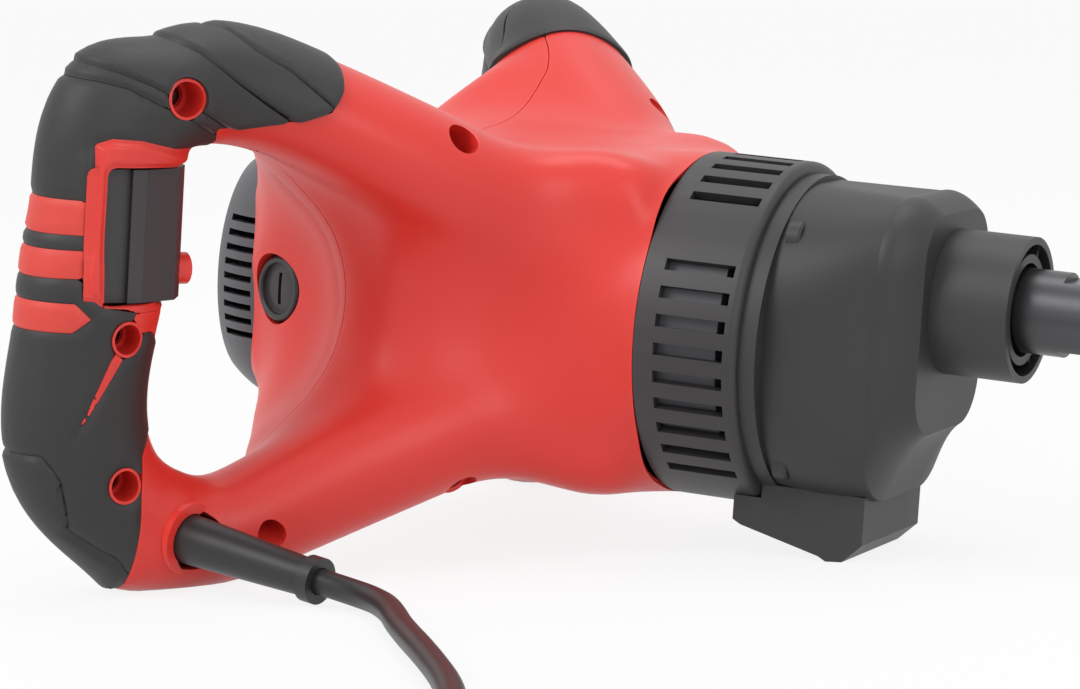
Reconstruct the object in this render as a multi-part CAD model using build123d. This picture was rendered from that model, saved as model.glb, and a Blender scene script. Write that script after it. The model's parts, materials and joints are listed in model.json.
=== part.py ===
from build123d import *
import os
from math import acos, atan, atan2, cos, degrees, pi, radians, sin, sqrt, tan

# Two-handled mixing drill, millimetres.
# The drill is modelled on its own axes: X runs along the motor towards the spindle, Y to the
# left handle, Z up, with the origin on the motor axis at the back face of the vent ring.
# At the end it is laid on its three rests, the two handle corners and the gearbox foot.

# Driving dimensions: motor body
ring_radius = 61.5
ring_length = 38.0
ring_wall = 3.5
housing_wall = 3.0
rear_half_width = 40.0
rear_half_height = 50.0
barrel_end_x = -160.0
rear_cap_depth = 24.0

# Driving dimensions: handles
grip_x = -155.0
grip_y = 170.0
grip_heading = 57.0
handle_bottom_x = -146.0
handle_bottom_z = -95.0

# Driving dimensions: trigger
trigger_top_z = 53.0
trigger_bottom_z = 8.0
trigger_reach = 33.0
trigger_travel = 7.0
bezel_top_z = 60.0
bezel_bottom_z = 1.5

# Driving dimensions: motor
stator_radius = 44.2
stator_bore = 24.0
stator_length = 60.0
stator_rear_x = -104.0
shaft_radius = 5.0
commutator_radius = 15.0
fan_radius = 49.0

# Driving dimensions: gearbox and spindle
flange_radius = 57.5
flange_thickness = 6.0
gearbox_front_x = 94.0
spindle_axis_z = 18.5
collar_radius = 25.6
collar_end_x = 122.0
spindle_radius = 14.8
spindle_shaft_radius = 10.0
spindle_end_x = 158.0
thread_bore_radius = 6.0
thread_depth = 24.0
foot_bottom_x = 67.0
foot_drop = 12.5
foot_heel = 2.5
foot_toe = 5.5
foot_bottom_z = -ring_radius - foot_drop
foot_half_width = 28.0

# Driving dimensions: gears, each as tooth count and module
pinion_teeth = 8
wheel_teeth = 42
first_module = 1.0
second_pinion_teeth = 8
spindle_wheel_teeth = 34
second_module = 1.75

# Driving dimensions: cord
cord_radius = 4.5
coil_pitch = 9.8
coil_outer_radius = 72.2
coil_centre = (34.0, -475.0)
coil_start_angle = 6.0
coil_layer_turns = 3.5
coil_end_turn = 7.25
tie_thickness = 0.8
tie_width = 14.0
plug_radius = 18.0
plug_at = (-62.0, -556.0)
guard_root = (-131.0, -149.0, -73.0)
guard_tip = (-64.0, -161.5, -78.7)
guard_root_radius = 8.8
guard_tip_radius = 6.6

# Clearances
running_gap = 0.05
seat_gap = 0.2
free_gap = 0.4


ring_front_x = ring_length
flange_front_x = ring_front_x + flange_thickness


def mirrored(shape):
    """The same piece on the left-hand side of the drill."""
    return shape.mirror(Plane.XZ)


def bar(radius, x_start, x_end, y=0.0, z=0.0):
    """A round bar along X between two stations."""
    return Pos((x_start + x_end) / 2, y, z) * Rot(Y=90) * Cylinder(radius, abs(x_end - x_start))


def tube(outer, inner, x_start, x_end, y=0.0, z=0.0):
    """A round tube along X between two stations."""
    return bar(outer, x_start, x_end, y, z) - bar(inner, x_start - 1, x_end + 1, y, z)


def block(x_low, x_high, y_low, y_high, z_low, z_high):
    """A rectangular block given by its corners."""
    centre = Pos((x_low + x_high) / 2, (y_low + y_high) / 2, (z_low + z_high) / 2)
    return centre * Box(x_high - x_low, y_high - y_low, z_high - z_low)


def turned(profile, y=0.0, z=0.0):
    """A turned piece about an axis along X, from its (X, radius) outline."""
    face = make_face(Polyline(*[(x, r) for x, r in profile], close=True))
    return Pos(0, y, z) * revolve(face, Axis.X)


def whole(shape):
    """The largest solid of a cut shape, without loose slivers."""
    return max(shape.solids(), key=lambda s: s.volume)


# Body: sections across the motor axis, from the round ring to the barrel's end
lobe_angles = [90, 76, 62, 50, 38, 26, 13, 0, -13, -26, -38, -50, -62, -76, -90]


def oval_half(half_width, half_height):
    return [(half_width * cos(radians(a)), half_height * sin(radians(a))) for a in lobe_angles]


def body_section(x, half):
    """A closed section from its right-hand half outline, as (distance from Y = 0, Z)."""
    left = [(x, y, z) for y, z in half]
    right = [(x, -y, z) for y, z in reversed(half[1:-1])]
    return Face(Wire(Spline(*left, *right, periodic=True)))


shoulder = [(0, 60), (24, 61), (42, 62), (54, 61), (60, 54), (61, 40), (62, 20), (61, 0),
            (62, -18), (63, -34), (60, -48), (52, -56), (40, -59), (22, -60), (0, -60)]
spread = [(0, 58), (30, 60), (56, 64), (78, 71), (90, 62), (88, 46), (70, 22), (60, 0),
          (70, -22), (84, -38), (90, -50), (78, -60), (56, -61), (30, -60), (0, -58)]
wings = [(0, 56), (32, 58), (62, 65), (94, 82), (108, 70), (100, 52), (72, 28), (57, 0),
         (70, -26), (94, -44), (104, -58), (92, -70), (62, -66), (32, -60), (0, -56)]
fade = [(0, 54), (26, 55), (52, 58), (84, 66), (92, 60), (82, 50), (61, 26), (54, 0),
        (60, -24), (74, -42), (80, -50), (70, -58), (48, -58), (26, -55), (0, -54)]

body = loft([
    body_section(0.0, oval_half(ring_radius, ring_radius)),
    body_section(-38.0, shoulder),
    body_section(-78.0, spread),
    body_section(-112.0, wings),
    body_section(-140.0, fade),
    body_section(barrel_end_x, oval_half(rear_half_width, rear_half_height)),
])

# Handle loop: oval sections along its centre line, given for the right-hand side as
# X, distance from Y = 0, Z, heading in plan, climb, half height and half width
loop_stations = [
    (-36, 34, 20, 40, 20, 15, 15),
    (-64, 66, 46, 39, 24, 21, 24),
    (-93, 94, 63.5, 38, 22, 20.5, 25),
    (-121, 119, 77.5, 44, 8, 20, 22),
    (-139, 146, 77.5, 57, -5, 19.5, 21),
    (-144.1, 153.2, 74.5, 57, -22, 21, 21),
    (-148.8, 160.5, 67.5, 57, -45, 26.5, 20.5),
    (-151.5, 164.7, 59, 57, -66, 25.5, 20.5),
    (-153, 166.8, 47, 57, -84, 23.5, 20.5),
    (-154.3, 169, 20, 57, -90, 24, 20.5),
    (-155.5, 170.8, -12, 57, -90, 24.5, 20.5),
    (-156, 171.5, -36, 57, -92, 25, 20.5),
    (-153, 167.5, -52, 57, -104, 25, 20.5),
    (-148, 160, -63, 57, -120, 23.5, 20.5),
    (-140, 149, -73, 55, -148, 24, 20.5),
    (-126, 129, -75, 48, -184, 19, 20.5),
    (-104, 106, -62, 40, -204, 21, 21),
    (-76, 78, -44, 38, -208, 22, 22),
    (-44, 42, -22, 40, -205, 15, 15),
]


section_points = 12


def handle_section(station):
    """An oval across the handle loop."""
    x, y, z, heading, climb, half_height, half_width = station
    h = radians(heading)
    p = radians(climb)
    across = Vector(sin(h), -cos(h), 0)
    upward = Vector(cos(h) * sin(p), sin(h) * sin(p), cos(p))
    turns = [2 * pi * k / section_points for k in range(section_points)]
    ring = [Vector(x, -y, z) + across * (half_width * cos(t)) + upward * (half_height * sin(t))
            for t in turns]
    return Face(Wire(Spline(*ring, periodic=True)))


corner_stations = (0, 4, 9, 14, 18)
loop_sections = [handle_section(s) for s in loop_stations]
right_loop = Part()
for first, last in zip(corner_stations[:-1], corner_stations[1:]):
    right_loop += loft(loop_sections[first:last + 1])


def grip_frame(u, n, z):
    """A place on the right grip: u outwards to the palm, n forwards, z up."""
    h = radians(grip_heading)
    return Location((grip_x - u * cos(h) + n * sin(h), -grip_y - u * sin(h) - n * cos(h), z),
                    (0, 0, 180 + grip_heading))


def grip_block(u_low, u_high, n_low, n_high, z_low, z_high):
    """A block in the grip's own directions."""
    size = (u_high - u_low, n_high - n_low, z_high - z_low)
    return grip_frame((u_low + u_high) / 2, (n_low + n_high) / 2, (z_low + z_high) / 2) * Box(*size)


# Rubber on the handle: the pad over the arm, the sleeve round the grip, the corner bumper
far = 60.0
sleeve_bottom_z = -42.0
sleeve_top_z = 84.0
pad_region = grip_frame(-20, 0, 76.0) * Rot(X=-22) * Pos(0, 0, 30) * Box(98, 160, 60)
sleeve_region = grip_block(-36.0, far, -far, far, sleeve_bottom_z, sleeve_top_z)
bumper_region = grip_block(-24.0, far, -far, far, -110.0, sleeve_bottom_z)
rubber_region = pad_region + sleeve_region + bumper_region

rest_slope = (foot_bottom_z - handle_bottom_z) / (foot_bottom_x - handle_bottom_x)
below_rests = Pos(handle_bottom_x, 0, handle_bottom_z) * Rot(Y=-degrees(atan(rest_slope))) * Pos(
    0, 0, -50) * Box(400, 600, 100)
right_loop = right_loop - below_rests
guard_axis = Plane(origin=guard_root, z_dir=Vector(*guard_tip) - Vector(*guard_root)).location
guard_socket = guard_axis * Pos(0, 0, 18) * Cylinder(guard_root_radius + seat_gap, 40)
right_outer = whole(right_loop - body)
top_pad = whole(right_outer & pad_region)
sleeve = whole((right_outer & sleeve_region) - pad_region)
bumper = whole(right_outer & bumper_region)
right_bumper = whole(bumper - guard_socket)

# Red bands across the palm side of the grip
band_height = 12.5
band_tops = (42.0, 24.5, 7.0)
band_blocks = [grip_block(14.0, far, -far, far, top - band_height, top) for top in band_tops]
bands = [whole(sleeve & b) for b in band_blocks]
for b in band_blocks:
    sleeve = whole(sleeve - b)
left_sleeve = mirrored(sleeve)

# Trigger, its pocket and the frame round it, on the right grip only
pocket_gap = 0.5
mouth_depth = 1.0
mouth_half = 19.0
pocket_half = 17.0
pocket_low_z = trigger_bottom_z - pocket_gap
pocket_high_z = trigger_top_z + pocket_gap
pocket_depth = trigger_travel + 3.5
pocket = grip_block(-far, mouth_depth, -mouth_half, mouth_half, pocket_low_z, pocket_high_z)
pocket += grip_block(-far, pocket_depth, -pocket_half, pocket_half, pocket_low_z, pocket_high_z)
bezel_region = grip_block(-far, 5.0, -far, far, bezel_bottom_z, bezel_top_z)
bezel = whole((sleeve & bezel_region) - pocket)
sleeve = whole(sleeve - bezel_region - pocket)


# Half of the trigger's plan outline, from its tail in the grip to its front, as (u, n)
tail_half = pocket_half - pocket_gap
shoulder_u = mouth_depth - trigger_travel - pocket_gap
trigger_half = [(2.0, tail_half), (shoulder_u, tail_half), (shoulder_u, mouth_half - pocket_gap),
                (-12.0, 18.0), (-27.0, 12.5), (-trigger_reach, 4.0)]
trigger_other_half = [(u, -n) for u, n in reversed(trigger_half)]
trigger_face = make_face(Polyline(*trigger_half, *trigger_other_half, close=True))
trigger_height = trigger_top_z - trigger_bottom_z
trigger = extrude(trigger_face, trigger_height)
trigger = fillet(trigger.edges().filter_by(Axis.Z).group_by(Axis.X)[0], 2.5)
trigger = grip_frame(0, 0, trigger_bottom_z) * trigger

# Speed dial on the trigger's face
dial_z = 17.0
dial_radius = 5.5
dial_seat_u = -trigger_reach + 1.0
dial_height = 5.0
dial_pin_radius = 1.5
dial_pin_length = 8.0
dial_place = grip_frame(dial_seat_u, 0, dial_z) * Rot(Y=90)
dial = dial_place * (Pos(0, 0, -dial_height / 2) * Cylinder(dial_radius, dial_height)
                     + Pos(0, 0, dial_pin_length / 2) * Cylinder(dial_pin_radius, dial_pin_length))
dial_seat = Pos(0, 0, -dial_height / 2) * Cylinder(dial_radius + free_gap, dial_height + 2 * free_gap)
dial_seat += Pos(0, 0, dial_pin_length / 2) * Cylinder(dial_pin_radius + running_gap,
                                                       dial_pin_length + 2 * free_gap)
trigger = whole(trigger - dial_place * dial_seat)

# Housing: body, arms and the motor bay inside
bay_radius = stator_radius + seat_gap
brush_bay_radius = 33.0
brush_tilt = 25.0
brush_x = -146.0
brush_y = 50.0
bay_end_x = -119.0
fan_bay_radius = fan_radius + 3.0
rear_bearing_radius = 11.0
rear_bearing_x = -158.0
rear_bearing_width = 7.0


def brush_frame(depth):
    """A place on the right brush's axis, given by its depth below the cap's face."""
    t = radians(brush_tilt)
    return Pos(brush_x + depth * sin(t), -brush_y + depth * cos(t), 0) * Rot(Z=-brush_tilt) * Rot(X=90)


def brush_bar(radius, depth_low, depth_high):
    return brush_frame((depth_low + depth_high) / 2) * Cylinder(radius, depth_high - depth_low)


brush_bore = brush_bar(9.6, -20, 30) + brush_bar(12.0, -20, 0.5)
shell = body + (right_loop - rubber_region) + mirrored(right_loop - rubber_region)
shell = shell - bar(bay_radius, bay_end_x, 1) - bar(brush_bay_radius, -153, bay_end_x + 1)
shell = shell - bar(fan_bay_radius, -14, 1) - brush_bore - mirrored(brush_bore)
shell = shell - bar(rear_bearing_radius + seat_gap, rear_bearing_x, -150) - guard_socket

# Front and rear housing meet on a plane across the barrel that sweeps back along the arms
split_x = -112.0
splitter = extrude(make_face(Polyline(
    (-260, -230), (-150, -230), (-150, -163), (-124, -120), (split_x, -80), (split_x, 80),
    (-124, 120), (-150, 163), (-150, 230), (-260, 230), close=True)), 140, both=True)
front_housing = whole(shell - splitter)
rear_housing = whole(shell & splitter)

# Rear vent cap with side louvres
cap_end_x = barrel_end_x - rear_cap_depth


def cap_section(x, shrink):
    """The vent cap's oval at a station; it draws in towards the end."""
    t = (barrel_end_x - x) / rear_cap_depth
    draw = 11.0 * t ** 2
    half = oval_half(rear_half_width - draw - shrink, rear_half_height - 0.8 * draw - shrink)
    return body_section(x, half)


cap_stations = [barrel_end_x, barrel_end_x - 8, barrel_end_x - 16, cap_end_x]
rear_cap = loft([cap_section(x, 0.0) for x in cap_stations])
cap_hollow = loft([cap_section(x, housing_wall) for x in cap_stations[:-1]])
louvre_pitch = 5.3
louvre_height = 2.4
louvre_count = 9
rear_cap = rear_cap - cap_hollow
for k in range(louvre_count):
    z = (k - (louvre_count - 1) / 2) * louvre_pitch
    rear_cap -= block(cap_end_x + 5, barrel_end_x - 4, -60, 60, z - louvre_height / 2,
                      z + louvre_height / 2)

# Vent ring with its slots, and the grey shroud inside it
vent_ring = tube(ring_radius, ring_radius - ring_wall, 0, ring_front_x)
vent_ring += tube(ring_radius, 50.0, ring_front_x - 4.0, ring_front_x)
vent_ring = whole(vent_ring)
front_edge = vent_ring.edges().filter_by(GeomType.CIRCLE).sort_by(
    lambda e: (round(e.center().X, 3), e.radius))[-1]
vent_ring = fillet(front_edge, 3.0)
slot_pitch = 9.3
slot_width = 4.3
slot_groups = ([-48 + slot_pitch * k for k in range(9)]
               + [52 + slot_pitch * k for k in range(9)]
               + [154 + slot_pitch * k for k in range(9)])
slot = block(7.5, ring_front_x - 4.5, -1, 8, -slot_width / 2, slot_width / 2)
slot = Pos(0, ring_radius - 5.5, 0) * slot
cutters = [Rot(X=a) * slot for a in slot_groups]
vent_ring = whole(vent_ring - cutters)
shroud = tube(ring_radius - ring_wall - 1.0, fan_radius + 2.5, 3, 29)
shroud += tube(ring_radius - ring_wall - seat_gap, fan_radius + 2.5, 3, 6)

# Gearbox housing: round flange, block and front wall


def rounded(x, z, width, height, corner):
    """A rounded rectangle across the motor axis."""
    return Pos(x, 0, z) * (Plane.YZ * RectangleRounded(width, height, corner))


box_chin = rounded(80, 1.4, 84, 106.8, 26)
gearbox = loft([rounded(flange_front_x, 0.25, 100, 110.5, 44), rounded(68, 0.5, 93, 109, 34), box_chin])
gearbox += loft([box_chin, rounded(90, 11.0, 74, 84, 22), rounded(gearbox_front_x, 11.5, 64, 77, 17)])
gearbox += bar(flange_radius, ring_front_x, flange_front_x)
wall_rear_x = 79.0
gear_bay = loft([rounded(flange_front_x, 2.0, 94, 99, 40), rounded(58, 2.0, 92, 98, 38),
                 rounded(wall_rear_x, 6.5, 76, 88, 25)], ruled=True)
bearing_radius = 23.5
bearing_rear_x = 80.0
gearbox = gearbox - gear_bay - bar(50.0, ring_front_x - 1, flange_front_x + 0.01)
gearbox -= bar(bearing_radius + seat_gap, wall_rear_x - 1, gearbox_front_x - 2.0, 0, spindle_axis_z)
gearbox -= bar(15.2, wall_rear_x, gearbox_front_x + 1, 0, spindle_axis_z)

# Gear stages: axes in the YZ plane from the tooth counts
first_distance = first_module * (pinion_teeth + wheel_teeth) / 2
second_distance = second_module * (second_pinion_teeth + spindle_wheel_teeth) / 2
lay_z = (first_distance ** 2 - second_distance ** 2 + spindle_axis_z ** 2) / (2 * spindle_axis_z)
lay_y = sqrt(first_distance ** 2 - lay_z ** 2)
gearbox -= bar(6.5, wall_rear_x - 1, wall_rear_x + 8, lay_y, lay_z)

# Collar round the spindle's mouth, with an inner ring on ribs
collar = tube(collar_radius, collar_radius - 2.6, gearbox_front_x, collar_end_x, 0, spindle_axis_z)
collar += tube(19.4, 16.4, gearbox_front_x, collar_end_x - 1.5, 0, spindle_axis_z)
collar += tube(collar_radius, 16.4, gearbox_front_x, gearbox_front_x + 4, 0, spindle_axis_z)
rib = block(gearbox_front_x, collar_end_x - 2.5, -0.9, 0.9, 18.5, 24.0)
for k in range(6):
    collar += Pos(0, 0, spindle_axis_z) * Rot(X=30 + 60 * k) * rib

# Gearbox foot under the flange
foot_rear_x = 28.0
foot_front_x = 77.0
pad_half = 3.0
foot_top_z = -ring_radius + 11.5
foot_side = make_face(Polyline(
    (foot_rear_x, foot_top_z), (foot_rear_x, -ring_radius - foot_heel),
    (foot_rear_x + 3, -ring_radius - foot_heel - 1.6),
    (foot_bottom_x - pad_half - 3, foot_bottom_z + 1.2),
    (foot_bottom_x - pad_half, foot_bottom_z - pad_half * rest_slope),
    (foot_bottom_x + pad_half, foot_bottom_z + pad_half * rest_slope),
    (foot_front_x, -ring_radius - foot_toe), (foot_front_x, foot_top_z), close=True))
foot = extrude(Plane.XZ * foot_side, foot_half_width, both=True)
foot = whole(foot - gearbox - bar(ring_radius + 0.3, foot_rear_x - 1, ring_front_x + 0.3))
# Bearing plate between the fan and the gears
plate_radius = 49.8
plate_rear_x = 36.0
front_bearing_radius = 16.0
front_bearing_x = 29.0
front_bearing_width = 10.0
bush_boss_radius = 11.0
bush_radius = 9.0
spindle_tail_radius = 6.0
bush_front_x = 52.0
plate = bar(plate_radius, plate_rear_x, flange_front_x)
plate += bar(19.0, front_bearing_x - 1, plate_rear_x)
plate += bar(bush_boss_radius, flange_front_x, bush_front_x, 0, spindle_axis_z)
plate -= bar(front_bearing_radius, front_bearing_x - 2, front_bearing_x + front_bearing_width)
plate -= bar(9.0, front_bearing_x, flange_front_x + 1)
plate -= bar(bush_radius, flange_front_x, bush_front_x + 1, 0, spindle_axis_z)
lay_shaft_radius = 4.5
plate -= bar(lay_shaft_radius + running_gap, 38.0, flange_front_x + 1, lay_y, lay_z)


def gear(teeth, module, addendum, x_start, x_end, y, z, phase, bore=0.0):
    """A spur gear about an axis along X, with one tooth centred on the phase angle."""
    pressure = radians(22.5)
    backlash = 0.12 * module
    pitch_radius = module * teeth / 2
    base = pitch_radius * cos(pressure)
    tip = pitch_radius + addendum * module
    root = pitch_radius - 1.25 * module
    half = pi / (2 * teeth) - backlash / (2 * pitch_radius) + tan(pressure) - pressure

    def flank(radius):
        a = acos(min(1.0, base / radius))
        return half - (tan(a) - a)

    low = max(root + 0.15 * module, base)
    radii = [root, low, pitch_radius, tip]
    outline = []
    for k in range(teeth):
        centre = radians(phase) + 2 * pi * k / teeth
        side = [(r, flank(max(r, base))) for r in radii]
        for r, a in side:
            outline.append((r * cos(centre - a), r * sin(centre - a)))
        for r, a in reversed(side):
            outline.append((r * cos(centre + a), r * sin(centre + a)))
    face = Plane.YZ * make_face(Polyline(*outline, close=True))
    wheel = Pos(x_start, y, z) * extrude(face, x_end - x_start)
    if bore:
        wheel = wheel - bar(bore, x_start - 1, x_end + 1, y, z)
    return wheel


to_lay = degrees(atan2(lay_z, lay_y))
lay_to_motor = to_lay + 180
lay_to_spindle = degrees(atan2(spindle_axis_z - lay_z, -lay_y))
spindle_to_lay = lay_to_spindle + 180
first_start_x = 46.5
first_end_x = 55.5
second_start_x = 58.0
second_end_x = 76.0
pinion = gear(pinion_teeth, first_module, 1.0, first_start_x - 0.5, first_end_x + 0.5, 0, 0, to_lay)
wheel = gear(wheel_teeth, first_module, 0.8, first_start_x, first_end_x, lay_y, lay_z,
             lay_to_motor + 180 / wheel_teeth, lay_shaft_radius)
lay_pinion = gear(second_pinion_teeth, second_module, 1.0, second_start_x - 1, second_end_x + 1,
                  lay_y, lay_z, lay_to_spindle)
spindle_wheel = gear(spindle_wheel_teeth, second_module, 0.8, second_start_x, second_end_x, 0,
                     spindle_axis_z, spindle_to_lay + 180 / spindle_wheel_teeth,
                     spindle_shaft_radius)
lay_shaft = bar(lay_shaft_radius, 39.0, 86.0, lay_y, lay_z) + lay_pinion
lay_bush = tube(6.5, lay_shaft_radius + running_gap, wall_rear_x + 0.5, wall_rear_x + 8, lay_y, lay_z)

# Spindle with its threaded mouth and wrench flats
flat_half = 12.0
spindle = turned([(bush_front_x - 6.5, 0), (bush_front_x - 6.5, spindle_tail_radius),
                  (second_start_x - 2, spindle_tail_radius), (second_start_x - 2, spindle_shaft_radius),
                  (106, spindle_shaft_radius), (106, spindle_radius),
                  (spindle_end_x - 1, spindle_radius), (spindle_end_x, spindle_radius - 1),
                  (spindle_end_x, thread_bore_radius), (spindle_end_x - thread_depth, thread_bore_radius),
                  (spindle_end_x - thread_depth - 3, 0)], 0, spindle_axis_z)
for side in (-1, 1):
    spindle -= Pos(142, 0, spindle_axis_z + side * (flat_half + 10)) * Box(12, 60, 20)
spindle_bush = tube(bush_radius, spindle_tail_radius + running_gap, flange_front_x + 0.5,
                    bush_front_x, 0, spindle_axis_z)
spindle_bearing = tube(bearing_radius, spindle_shaft_radius + running_gap, bearing_rear_x,
                       gearbox_front_x - 2.0, 0, spindle_axis_z)

# Motor
stator_front_x = stator_rear_x + stator_length
stator = tube(stator_radius, stator_bore, stator_rear_x, stator_front_x)
stator_pocket = block(stator_rear_x - 1, stator_front_x + 1, 26, 38, -11, 11)
stator -= stator_pocket + mirrored(stator_pocket)
coil_end_length = 12.0
windings = [tube(39, 27, stator_rear_x - coil_end_length, stator_rear_x),
            tube(39, 27, stator_front_x, stator_front_x + coil_end_length)]
rear_journal_radius = 4.0
shaft = turned([(rear_bearing_x + 0.5, 0), (rear_bearing_x + 0.5, rear_journal_radius),
                (rear_bearing_x + rear_bearing_width + 1, rear_journal_radius),
                (rear_bearing_x + rear_bearing_width + 1, shaft_radius), (27, shaft_radius),
                (27, 6.0), (41, 6.0), (41, 2.6), (first_start_x + 5, 2.6), (first_start_x + 5, 0)])
shaft = shaft + pinion
air_gap = 0.7
core_radius = stator_bore - air_gap
core = tube(core_radius, shaft_radius, stator_rear_x, stator_front_x)
core_slots = 12
core_slot = block(stator_rear_x - 1, stator_front_x + 1, -1.2, 1.2, core_radius - 7, core_radius + 1)
core = whole(core - [Rot(X=360 * k / core_slots) * core_slot for k in range(core_slots)])
core_coils = [tube(19, shaft_radius, stator_rear_x - 10, stator_rear_x),
              tube(19, shaft_radius, stator_front_x, stator_front_x + 10)]
commutator_rear_x = -139.0
commutator_front_x = -121.0
commutator = tube(commutator_radius, shaft_radius, commutator_rear_x, commutator_front_x)
fan_rear_x = 4.0
fan_front_x = 22.0
fan = tube(9.0, shaft_radius, fan_rear_x, fan_front_x) + tube(fan_radius, 8.0, fan_rear_x, fan_rear_x + 2)
blade = Pos((fan_rear_x + fan_front_x) / 2, 0, 30) * Box(fan_front_x - fan_rear_x, 2.2, 36)
fan_blades = 11
fan += [Rot(X=360 * k / fan_blades) * blade for k in range(fan_blades)]
front_bearing = tube(front_bearing_radius, 6.0 + running_gap, front_bearing_x,
                     front_bearing_x + front_bearing_width)
rear_bearing = tube(rear_bearing_radius, rear_journal_radius + running_gap, rear_bearing_x,
                    rear_bearing_x + rear_bearing_width)

# Brushes: caps, holders, carbons and springs, each side of the commutator
brush_cap = brush_bar(9.4, 0.5, 8.0) + brush_bar(11.5, 0.5 - 2.0, 0.5)
brush_cap -= brush_frame(-1.0) * Box(1.8, 12.0, 2.4)
holder = brush_bar(9.4, 8.2, 29.0) - brush_frame(18) * Box(6.4, 11.2, 40)
carbon = brush_frame(27.0) * Box(6.2, 11.0, 16)
carbon = carbon - bar(commutator_radius + 0.1, -160, -100)
spring = brush_bar(2.6, 8.2, 18.9)

# Cord guard: a tapered sleeve with an end flange, in a round boss on the lower right corner
guard_length = (Vector(*guard_tip) - Vector(*guard_root)).length
flange_radius_guard = 8.0
flange_width_guard = 5.0
guard_profile = [(0, 0), (guard_root_radius, 0), (guard_root_radius, 8),
                 (guard_tip_radius, guard_length - flange_width_guard - 1),
                 (flange_radius_guard, guard_length - flange_width_guard),
                 (flange_radius_guard, guard_length), (0, guard_length)]
guard = revolve(Plane.XZ * make_face(Polyline(*guard_profile, close=True)), Axis.Z)
guard_bore_depth = 8.0
guard -= Pos(0, 0, guard_length) * Cylinder(cord_radius + seat_gap, 2 * guard_bore_depth)
guard = guard_axis * guard
boss_radius = 12.5
boss_height = 9.0
boss = guard_axis * Pos(0, 0, 2) * (Cylinder(boss_radius, 2 * boss_height)
                                    - Cylinder(guard_root_radius + seat_gap, 3 * boss_height))
boss = whole(boss - right_loop)

parts = {
    "front_housing": front_housing, "rear_housing": rear_housing, "rear_vent_cap": rear_cap,
    "vent_ring": vent_ring, "fan_shroud": shroud, "gearbox_housing": gearbox,
    "bearing_plate": plate, "spindle_collar": collar, "gearbox_foot": foot,
    "right_arm_pad": top_pad, "left_arm_pad": mirrored(top_pad),
    "right_grip_sleeve": sleeve, "left_grip_sleeve": left_sleeve,
    "right_corner_bumper": right_bumper, "left_corner_bumper": mirrored(bumper),
    "right_grip_bands": Compound(bands), "left_grip_bands": Compound([mirrored(b) for b in bands]),
    "trigger_bezel": bezel, "trigger": trigger, "speed_dial": dial,
    "stator_core": stator, "field_windings": Compound(windings), "armature_shaft": shaft,
    "armature_core": core, "armature_coils": Compound(core_coils), "commutator": commutator,
    "cooling_fan": fan, "front_motor_bearing": front_bearing, "rear_motor_bearing": rear_bearing,
    "right_brush_cap": brush_cap, "left_brush_cap": mirrored(brush_cap),
    "right_brush_holder": holder, "left_brush_holder": mirrored(holder),
    "right_carbon_brush": carbon, "left_carbon_brush": mirrored(carbon),
    "right_brush_spring": spring, "left_brush_spring": mirrored(spring),
    "lay_shaft": lay_shaft, "lay_wheel": wheel, "lay_shaft_bush": lay_bush,
    "spindle": spindle, "spindle_wheel": spindle_wheel, "spindle_bush": spindle_bush,
    "spindle_bearing": spindle_bearing, "cord_boss": boss, "cord_guard": guard,
}

# Lay the drill on its rests: two handle corners and the foot
rest_tilt = degrees(atan2(foot_bottom_z - handle_bottom_z, foot_bottom_x - handle_bottom_x))
tilt = Rot(Y=rest_tilt)
tilted = {name: tilt * shape for name, shape in parts.items()}
boxes = [shape.bounding_box() for shape in tilted.values()]
centre_x = (min(b.min.X for b in boxes) + max(b.max.X for b in boxes)) / 2
lowest = min(b.min.Z for b in boxes)
placement = Pos(-centre_x, 0, -lowest) * tilt
parts = {name: placement * shape for name, shape in parts.items()}

# Cord: out of the guard, down to the floor and away from the handle, then into its coil
coil_low_z = cord_radius + tie_thickness + 0.3
coil_high_z = coil_low_z + coil_pitch


def coil_place(turn):
    """A point of the coil: inwards on the floor, up half a turn, outwards on top."""
    inner = coil_outer_radius - coil_pitch * coil_layer_turns
    knots = [(0.0, coil_outer_radius), (coil_layer_turns, inner),
             (coil_layer_turns + 0.5, inner - 0.35 * coil_pitch),
             (coil_layer_turns + 1.0, inner + 0.65 * coil_pitch),
             (coil_layer_turns + 5.0, inner + 4.65 * coil_pitch)]
    turn_low, radius_low = knots[0]
    for turn_high, radius_high in knots[1:]:
        if turn <= turn_high:
            break
        turn_low, radius_low = turn_high, radius_high
    share = (turn - turn_low) / (turn_high - turn_low)
    radius = radius_low + share * (radius_high - radius_low)
    climb = min(1.0, max(0.0, (turn - coil_layer_turns) / 0.5))
    height = coil_low_z + coil_pitch * climb ** 2 * (3 - 2 * climb)
    angle = radians(coil_start_angle) - 2 * pi * turn
    return Vector(coil_centre[0] + radius * cos(angle), coil_centre[1] + radius * sin(angle), height)


def coil_heading(turn):
    step = 0.01
    return (coil_place(turn + step) - coil_place(turn - step)).normalized()


def biarc(start, start_heading, end, end_heading):
    """Two arcs that leave one point and reach another along given headings."""
    across = end - start
    both = start_heading + end_heading
    q = 2 * (1 - start_heading.dot(end_heading))
    reach = (-across.dot(both) + sqrt(across.dot(both) ** 2 + q * across.dot(across))) / q
    before = start + start_heading * reach
    after = end - end_heading * reach
    joint = (before + after) * 0.5
    return [Edge.make_tangent_arc(start, start_heading, joint),
            Edge.make_tangent_arc(joint, after - before, end)]


def cord_tube(path):
    profile = Plane(origin=path @ 0, z_dir=path % 0) * Circle(cord_radius)
    return sweep(profile, path=path)


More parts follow.
